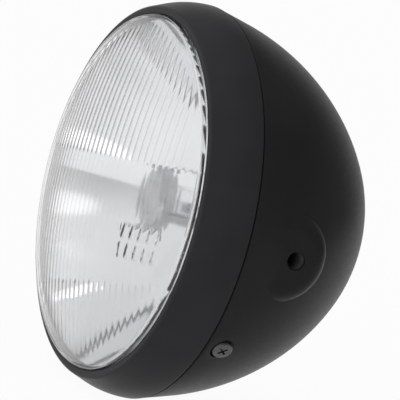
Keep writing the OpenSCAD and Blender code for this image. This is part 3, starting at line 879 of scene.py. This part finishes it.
@dataclass
class FlutedLens:
    """The domed glass with the ribs that are pressed into its inner face."""

    dome_rise: float = 15.6
    neck_r: float = 83.8
    edge_r: float = 3.0
    edge_level: float = 0.2
    glass_r: float = 85.6
    bore_r: float = 81.0
    wall: float = 3.4
    flange_front: float = 2.0
    flange_back: float = 5.5
    fillet: float = 0.4
    zone_r: float = 79.0
    pitch: float = 5.0
    samples: int = 8
    rows: int = 190
    trim: float = 0.9
    seam: float = 0.3
    fade: float = 7.0
    flute_depth: float = 0.21
    lower_rest: float = 0.22
    lower_fade: float = 12.0
    band_share: float = 0.15
    band_top: float = 15.3
    band_bottom: float = 44.0
    band_tilt: float = 0.12
    bar_depth: float = 0.6
    bar_pitch: float = 6.5
    bar_rows: float = 8.5
    bar_slant: float = 0.25
    bars_left: float = 34.0
    bars_right: float = 64.0
    bars_low: float = -29.0
    bars_top: float = -12.0
    dome_steps: int = 40
    edge_steps: int = 12
    steps: int = 256

    @property
    def dome_r(self) -> float:
        """Radius of the sphere that the glass is part of."""
        out, rise = self.neck_r - self.edge_r, self.dome_rise + self.edge_level
        return (out**2 + rise**2 - self.edge_r**2) / (2 * (rise - self.edge_r))

    def drop(self, r: float, inset: float) -> float:
        """Depth of the dome behind the rim's front, at a radius.

        Args:
            r: distance from the axis.
            inset: distance below the outer face.

        Returns:
            The depth in mm.
        """
        return self.dome_r - self.dome_rise - math.sqrt((self.dome_r - inset) ** 2 - r * r)

    def ribs(self, x: float, z: float) -> float:
        """How far the inner face is pressed in towards the front at a point.

        Args:
            x: distance to the right of the axis.
            z: height above the axis.

        Returns:
            The depth of the flute in mm.
        """
        inside = max(0.0, min(1.0, (self.zone_r - math.hypot(x, z)) / self.fade))
        across = (x / self.pitch) % 1.0 - 0.5
        scallop = self.flute_depth * inside * (1 - 4 * across * across)
        if z > self.band_top:
            return scallop
        below = self.band_tilt * x - self.band_bottom - z
        if below > 0:
            return max(self.lower_rest, 1 - below / self.lower_fade) * scallop
        if self.bars_left < x < self.bars_right and self.bars_low < z < self.bars_top:
            along = ((x - self.bar_slant * z) / self.bar_pitch) % 1.0 - 0.5
            up = ((z - self.bars_low) / self.bar_rows) % 1.0 - 0.5
            return self.bar_depth * (1 - 4 * along * along) * (1 - 4 * up * up)
        return self.band_share * scallop

    def inner_face(self) -> bmesh.types.BMesh:
        """The fluted inner face, as a disc of fine squares that run along the flutes."""
        shape = bmesh.new()
        step = self.pitch / self.samples
        columns = 2 * math.ceil(self.bore_r / step)
        bmesh.ops.create_grid(shape, x_segments=columns, y_segments=self.rows, size=1.0)
        size = Matrix.Diagonal((columns * step / 2, self.bore_r, 1.0, 1.0))
        upright = Matrix.Rotation(math.radians(90), 4, "X")
        bmesh.ops.transform(shape, verts=shape.verts, matrix=upright @ size)
        far = [f for f in shape.faces if f.calc_center_median().length > self.bore_r - self.trim]
        bmesh.ops.delete(shape, geom=far, context="FACES")
        for vert in [v for v in shape.verts if v.is_boundary]:
            vert.co *= (self.bore_r - self.seam) / vert.co.length
        for vert in shape.verts:
            x, z = vert.co.x, vert.co.z
            vert.co.y = self.drop(math.hypot(x, z), self.wall) - self.ribs(x, z) - MOUNT_DEPTH
        return shape

    def body(self) -> bmesh.types.BMesh:
        """The dome's outside, its rounded edge, its flange and the bore behind it."""
        out = self.neck_r - self.edge_r
        centre = self.dome_r - self.dome_rise
        edge = math.asin(out / (self.dome_r - self.edge_r))
        turns = [edge * i / self.dome_steps for i in range(self.dome_steps + 1)]
        section = [(self.dome_r * math.sin(a), centre - self.dome_r * math.cos(a)) for a in turns]
        lean = math.degrees(edge) - 90
        section += arc((out, self.edge_level), self.edge_r, lean, 0, self.edge_steps)[1:]
        section += [(self.neck_r, self.flange_front - self.fillet)]
        section += [(self.neck_r + self.fillet, self.flange_front)]
        section += [(self.glass_r, self.flange_front), (self.glass_r, self.flange_back)]
        section += [(self.bore_r, self.flange_back)]
        section += [(self.bore_r, self.drop(self.bore_r, self.wall))]
        return turned(section, self.steps, closed=False)

    def build(self, shop: Workshop) -> None:
        """Builds the glass and dresses the bead round it."""
        shape = joined([self.body(), self.inner_face()])
        seam = [e for e in shape.edges if e.is_boundary]
        bmesh.ops.bridge_loops(shape, edges=seam)
        bmesh.ops.recalc_face_normals(shape, faces=shape.faces)
        shop.piece("fluted_lens", shape, PRESSED_GLASS, ("lens",), crease=26.0, turn=UNIT_TURN)
        shop.dress(BUTYL_BEAD, "lens_sealant")


@dataclass
class MirrorUnit:
    """The aluminised bowl behind the glass, down to the neck that holds the bulb."""

    mirror_r: float = 81.0
    focal_length: float = 26.0
    neck_r: float = 21.0
    wall: float = 0.8
    gutter_r: float = 87.35
    gutter_depth: float = 5.65
    lip: float = 3.0
    bowl_gap: float = 1.0
    brim: float = 0.6
    back_brim: float = 1.4
    back_out: float = 0.3
    back_drop: float = 0.96
    neck_lead: float = 0.6
    neck_length: float = 1.6
    neck_wall: float = 1.0
    neck_clear: float = 1.0
    seat_r: float = 18.5
    light_drop: float = 40.0
    light_hole_r: float = 7.0
    light_hole_front: float = 4.0
    light_hole_back: float = 8.0
    light_hole_steps: int = 48
    bowl_steps: int = 56
    steps: int = 192

    @property
    def vertex(self) -> float:
        """Depth of the paraboloid's vertex."""
        return self.gutter_depth + self.bowl_gap + self.mirror_r**2 / (4 * self.focal_length)

    def depth_at(self, r: float) -> float:
        """Depth of the mirror at a radius."""
        return self.vertex - r * r / (4 * self.focal_length)

    def section(self) -> list[Point]:
        """The wall of the gutter, the mirror and the neck.

        Returns:
            Points along the mirror's front to the neck, and back along its rear.
        """
        span = self.neck_r - self.mirror_r
        line = [self.mirror_r + span * i / self.bowl_steps for i in range(self.bowl_steps + 1)]
        gutter_in, gutter_back = self.gutter_r - self.wall, self.gutter_depth + self.wall
        neck_back = self.vertex + self.neck_length
        neck_front, neck_out = neck_back - self.neck_wall, self.neck_r + self.wall
        front = [(gutter_in, self.lip), (gutter_in, self.gutter_depth)]
        front += [(self.mirror_r + self.brim, self.gutter_depth)]
        front += [(r, self.depth_at(r)) for r in line]
        front += [(self.neck_r, neck_front), (self.seat_r, neck_front), (self.seat_r, neck_back)]
        rear = [(neck_out, neck_back), (neck_out, self.depth_at(self.neck_r) + self.neck_lead)]
        rear += [
            (r + self.back_out, self.depth_at(r) + self.back_drop)
            for r in reversed(line)
            if r > self.neck_r + self.neck_clear
        ]
        rear += [(self.mirror_r + self.back_brim, gutter_back)]
        rear += [(self.gutter_r, gutter_back), (self.gutter_r, self.lip)]
        return front + rear

    def build(self, shop: Workshop) -> None:
        """Builds the bowl and dresses what is fixed to it."""
        bowl = turned(self.section(), self.steps)
        middle = self.depth_at(self.light_drop)
        low, high = middle - self.light_hole_front, middle + self.light_hole_back
        drill = rod(self.light_hole_r, low, high, self.light_hole_steps)
        bmesh.ops.translate(drill, verts=drill.verts, vec=(0, 0, -self.light_drop))
        bowl = combined(bowl, drill, "DIFFERENCE")
        shop.piece("mirror_bowl", bowl, VAPOUR_ALUMINIUM, ("reflector",), turn=UNIT_TURN)
        shop.dress(ZINC_PLATE, "bulb_holder_ring", "bulb_clip", "clip_bracket", "clip_screws")


@dataclass
class BulbShield:
    """The bright cap on three legs in front of the bulb."""

    front: float = 16.49
    radius: float = 14.0
    edge: float = 3.2
    edge_lean: float = -75.0
    skirt: float = 8.0
    leg_r: float = 18.0
    wall: float = 0.8
    root: float = 21.49
    knee: float = 59.5
    foot: float = 70.19
    leg_width: float = 14.0
    leg_overlap: float = 0.05
    leg_taper: float = 4.0
    dish: float = 1.5
    dish_r: float = 6.2
    dish_slope: float = 2.4
    dish_steps: int = 10
    edge_steps: int = 14
    leg_steps: int = 8
    steps: int = 96

    def face(self, inset: float) -> list[Point]:
        """The front of the cap with the shallow dish that stiffens it.

        Args:
            inset: distance behind the front face in mm.

        Returns:
            Points from the axis to the dish's brim.
        """
        level = self.front + inset
        brim = []
        for share in [i / self.dish_steps for i in range(self.dish_steps + 1)]:
            sink = self.dish * (1 + math.cos(math.pi * share)) / 2
            brim.append((self.dish_r + self.dish_slope * share, level + sink))
        return [(0.0, level + self.dish)] + brim

    def build(self, shop: Workshop) -> None:
        """Builds the cap with its legs."""
        corner = (self.radius - self.edge, self.front + self.edge)
        section = self.face(0) + arc(corner, self.edge, self.edge_lean, 0, self.edge_steps)
        section += [(self.radius, self.front + self.skirt)]
        section += [(self.radius - self.wall, self.front + self.skirt)]
        section += arc(corner, self.edge - self.wall, 0, self.edge_lean, self.edge_steps)
        section += list(reversed(self.face(self.wall)))
        parts = [turned(section, self.steps, closed=False)]
        inner, outer = self.radius - self.leg_overlap, self.leg_r + self.wall
        leg = [(inner, self.root), (inner + self.wall, self.root)]
        leg += [(outer, self.knee), (outer, self.foot)]
        leg += [(self.leg_r, self.foot), (self.leg_r, self.knee)]
        leg += [(inner, self.root + self.leg_taper)]
        for middle in (90, 210, 330):
            start = middle - self.leg_width / 2
            parts.append(turned(leg, self.leg_steps, sweep=self.leg_width, start=start))
        shop.piece("bulb_cap", joined(parts), NICKEL_PLATE, ("bulb_shield",), turn=UNIT_TURN)


@dataclass
class Lamps:
    """Both bulbs with their filaments, bases, blades and rubber."""

    def build(self, shop: Workshop) -> None:
        """Dresses the bulbs' solids."""
        shop.dress(QUARTZ_TUBE, "bulb_glass", "position_bulb")
        shop.dress(DRAWN_TUNGSTEN, "main_filament", "dipped_filament", "position_filament")
        shop.dress(NICKEL_PLATE, "bulb_terminals", "position_terminals")
        shop.dress(ZINC_PLATE, "dip_screen", "filament_wires", "bulb_flange", "bulb_base")
        shop.dress(ZINC_PLATE, "position_holder")
        shop.dress(PHENOLIC, "bulb_insulator")
        shop.dress(MOULDED_RUBBER, "bulb_boot", "position_grommet")


@dataclass(frozen=True)
class Softbox:
    """A soft light with a flat rectangular face, in metres and watts."""

    name: str
    place: tuple[float, float, float]
    width: float
    height: float
    power: float

    def light(self) -> None:
        """Hangs the light and aims it at the lamp."""
        data = bpy.data.lights.new(self.name, "AREA")
        data.shape, data.energy = "RECTANGLE", self.power
        data.size, data.size_y = self.width, self.height
        lamp = bpy.data.objects.new(self.name, data)
        lamp.location = self.place
        lamp.rotation_mode = "QUATERNION"
        lamp.rotation_quaternion = (-Vector(self.place)).to_track_quat("-Z", "Y")
        bpy.context.scene.collection.objects.link(lamp)


@dataclass(frozen=True)
class Glow:
    """A soft bright part of the sky: full near its middle, and nothing beyond an angle from it."""

    middle: tuple[float, float, float]
    strength: float
    none_beyond: float
    full_within: float

    def add(self, tree: bpy.types.NodeTree, place: bpy.types.NodeSocket) -> bpy.types.NodeSocket:
        """Adds the nodes of the glow.

        Args:
            tree: the sky's node tree.
            place: the direction that is looked at.

        Returns:
            The socket with the glow's brightness.
        """
        facing = add_node(
            tree,
            "ShaderNodeVectorMath",
            {"operation": "DOT_PRODUCT"},
            {0: place, 1: Vector(self.middle).normalized()},
        )
        fade = add_node(
            tree,
            "ShaderNodeMapRange",
            {"interpolation_type": "SMOOTHSTEP"},
            {
                "Value": facing.outputs["Value"],
                "From Min": math.cos(math.radians(self.none_beyond)),
                "From Max": math.cos(math.radians(self.full_within)),
                "To Max": self.strength,
            },
        )
        return fade.outputs[0]


# The lit paper behind the lamp, which the black coat mirrors at its outline.
BACKDROP_GLOW = Glow((-0.88, 0.44, -0.2), 0.65, 55.0, 15.0)
# The lit wall in front of the lamp, which the mirror bowl shows through the glass.
FRONT_GLOW = Glow((-0.1, -0.72, 0.68), 0.62, 80.0, 35.0)
# The pale wall on the left, which veils the glass and lights the bulb's cap.
LEFT_GLOW = Glow((-0.9, -0.44, -0.05), 0.45, 42.0, 18.0)
# A small window on the right, which draws the middle bright streak in the mirror.
WINDOW_GLOW = Glow((0.66, -0.67, 0.33), 0.65, 9.0, 4.0)
# A small lamp high in front, which draws the lowest bright streak in the mirror.
OVERHEAD = Softbox("overhead", (-0.17, -0.68, 1.09), 0.14, 0.06, 0.07)
# A small lit card low on the right, which draws the upper bright streak in the mirror.
CARD_LOW = Softbox("card_low", (0.112, -0.206, -0.074), 0.06, 0.035, 0.007)
# The studio paper's two near whites.
PAPER_DARK, PAPER_LIGHT = "#f7f7f7", "#fafafa"


@dataclass
class Studio:
    """The camera, the pale floor and the soft lights, in metres.

    right, up and back are the camera's axes. distance, aside and lift count in steps of unit
    metres, and pixels is the length of one such step in the picture, at the lamp's distance.
    """

    right: tuple[float, float, float] = (0.39558997, 0.87573801, 0.27675172)
    up: tuple[float, float, float] = (-0.24888564, -0.18783836, 0.95014351)
    back: tuple[float, float, float] = (0.88406137, -0.44474677, 0.14365165)
    unit: float = 0.094268
    pixels: float = 204.057
    distance: float = 16.7906
    aside: float = -0.395218
    lift: float = 0.043676
    picture: int = 400
    sensor: float = 36.0
    near: float = 0.05
    far: float = 60.0
    floor_level: float = -0.0934
    floor_half: float = 6.0
    fibre: float = 90.0
    base: float = 0.18
    paper_glow: float = 0.95

    def camera(self) -> None:
        """Sets the camera where the photograph was taken from."""
        right, up, back = Vector(self.right), Vector(self.up), Vector(self.back)
        place = (-self.aside * right - self.lift * up + self.distance * back) * self.unit
        data = bpy.data.cameras.new("camera")
        data.sensor_width = self.sensor
        data.lens = self.pixels * self.distance / self.picture * self.sensor
        data.clip_start, data.clip_end = self.near, self.far
        camera = bpy.data.objects.new("camera", data)
        turn = Matrix((right, up, back)).transposed().to_4x4()
        camera.matrix_world = Matrix.Translation(place + Vector((0, -MOUNT_DEPTH * MM, 0))) @ turn
        bpy.context.scene.collection.objects.link(camera)
        bpy.context.scene.camera = camera

    def seen(self, tree: bpy.types.NodeTree) -> bpy.types.NodeSocket:
        """A socket that is 1 for rays from the camera, a gloss or glass, and else 0."""
        ray = add_node(tree, "ShaderNodeLightPath")
        total = ray.outputs["Is Camera Ray"]
        for name in ("Is Transmission Ray", "Is Glossy Ray"):
            total = add_node(
                tree, "ShaderNodeMath", {"operation": "MAXIMUM"}, {0: total, 1: ray.outputs[name]}
            ).outputs[0]
        return total

    def floor(self) -> None:
        """Lays a white floor that keeps the lamp's shadow."""
        shape = bmesh.new()
        bmesh.ops.create_grid(shape, x_segments=8, y_segments=8, size=self.floor_half)
        bmesh.ops.translate(shape, verts=shape.verts, vec=(0, 0, self.floor_level))
        mesh = bpy.data.meshes.new("floor")
        shape.to_mesh(mesh)
        shape.free()
        mesh.materials.append(self.paper())
        ground = bpy.data.objects.new("floor", mesh)
        bpy.context.scene.collection.objects.link(ground)

    def paper(self) -> bpy.types.Material:
        """Builds the studio paper: near white, with a faint fibre, and lit a little from within.

        Returns:
            A material that shows nearly plain white and a faint shadow under the lamp.
        """
        material = blank("studio_paper")
        tree = material.node_tree
        place = add_node(tree, "ShaderNodeTexCoord")
        fibre = add_node(
            tree, "ShaderNodeTexNoise", {}, {"Vector": place.outputs["Object"], "Scale": self.fibre}
        )
        tone = add_node(
            tree,
            "ShaderNodeMix",
            {"data_type": "RGBA"},
            {"Factor": fibre.outputs[0], "A": linear(PAPER_DARK), "B": linear(PAPER_LIGHT)},
        )
        paper = add_node(
            tree, "ShaderNodeBsdfDiffuse", {}, {"Color": tone.outputs["Result"], "Roughness": 0.5}
        )
        white = add_node(tree, "ShaderNodeEmission", {}, {"Color": (1, 1, 1, 1), "Strength": 1.0})
        share = add_node(
            tree,
            "ShaderNodeMath",
            {"operation": "MULTIPLY"},
            {0: self.seen(tree), 1: self.paper_glow},
        )
        shader = add_node(
            tree,
            "ShaderNodeMixShader",
            {},
            {0: share.outputs[0], 1: paper.outputs[0], 2: white.outputs[0]},
        )
        add_node(tree, "ShaderNodeOutputMaterial", {}, {"Surface": shader.outputs[0]})
        return material

    def world(self) -> None:
        """Sets a dim sky with four bright parts, and plain white where the camera looks."""
        world = bpy.data.worlds.new("studio")
        bpy.context.scene.world = world
        world.use_nodes = True
        tree = world.node_tree
        tree.nodes.clear()
        place = add_node(tree, "ShaderNodeTexCoord").outputs["Generated"]
        total: bpy.types.NodeSocket | float = self.base
        for glow in (BACKDROP_GLOW, FRONT_GLOW, LEFT_GLOW, WINDOW_GLOW):
            bright = glow.add(tree, place)
            added = add_node(tree, "ShaderNodeMath", {"operation": "ADD"}, {0: total, 1: bright})
            total = added.outputs[0]
        ray = add_node(tree, "ShaderNodeLightPath")
        strength = add_node(
            tree,
            "ShaderNodeMix",
            {"data_type": "FLOAT"},
            {0: ray.outputs["Is Camera Ray"], 2: total, 3: 1.0},
        )
        light = add_node(
            tree,
            "ShaderNodeBackground",
            {},
            {"Color": (1, 1, 1, 1), "Strength": strength.outputs[0]},
        )
        add_node(tree, "ShaderNodeOutputWorld", {}, {"Surface": light.outputs[0]})

    def build(self) -> None:
        """Sets up the camera, the floor, the sky and the lights."""
        self.camera()
        self.floor()
        self.world()
        OVERHEAD.light()
        CARD_LOW.light()
        bpy.context.scene.view_settings.view_transform = "Standard"


def main() -> None:
    """Builds the studio and then the lamp from its outside in."""
    logging.basicConfig(level=logging.INFO, format="%(name)s %(message)s")
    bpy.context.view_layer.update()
    shop = Workshop()
    Studio().build()
    Rim().build(shop)
    Shell().build(shop)
    SideBush(Side.RIGHT, "right_bush").build(shop)
    SideBush(Side.LEFT, "left_bush").build(shop)
    FlutedLens().build(shop)
    MirrorUnit().build(shop)
    BulbShield().build(shop)
    Lamps().build(shop)


if __name__ == "__main__":
    main()
